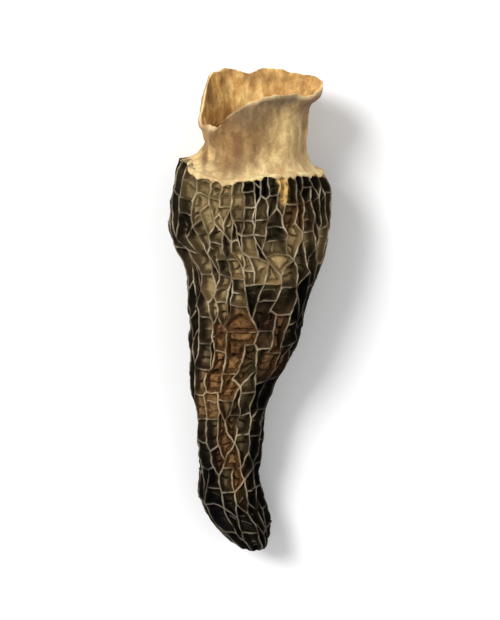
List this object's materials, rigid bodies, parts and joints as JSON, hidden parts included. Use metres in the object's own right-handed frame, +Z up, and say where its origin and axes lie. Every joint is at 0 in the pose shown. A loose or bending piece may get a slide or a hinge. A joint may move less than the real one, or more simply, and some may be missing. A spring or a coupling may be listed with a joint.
{
  "type": "morel mushroom",
  "caption": "Dried morel mushroom lying on its side: tapering hollow cap with a net of thin ridges round deep pits, on a pale hollow stem with a flared, uneven open mouth.",
  "frame": {"origin": "on the surface it lies on, under the middle of the morel", "axes": "+Z up from the surface; +Y along the morel from the cap's tip towards the stem's mouth; +X to the right of the morel seen from above with the stem away from the viewer"},
  "size_m": [0.029, 0.091, 0.0244],
  "materials": {
    "cap_flesh": "dried matt honeycomb flesh, dark umber and tan in the pits, pale grey-brown on the ridges",
    "stem_flesh": "dried matt cream to tan flesh, finely mealy and wrinkled, golden brown inside"
  },
  "bodies": {
    "root": {"cap": "cap_flesh", "stem": "stem_flesh"}
  },
  "joints": []
}
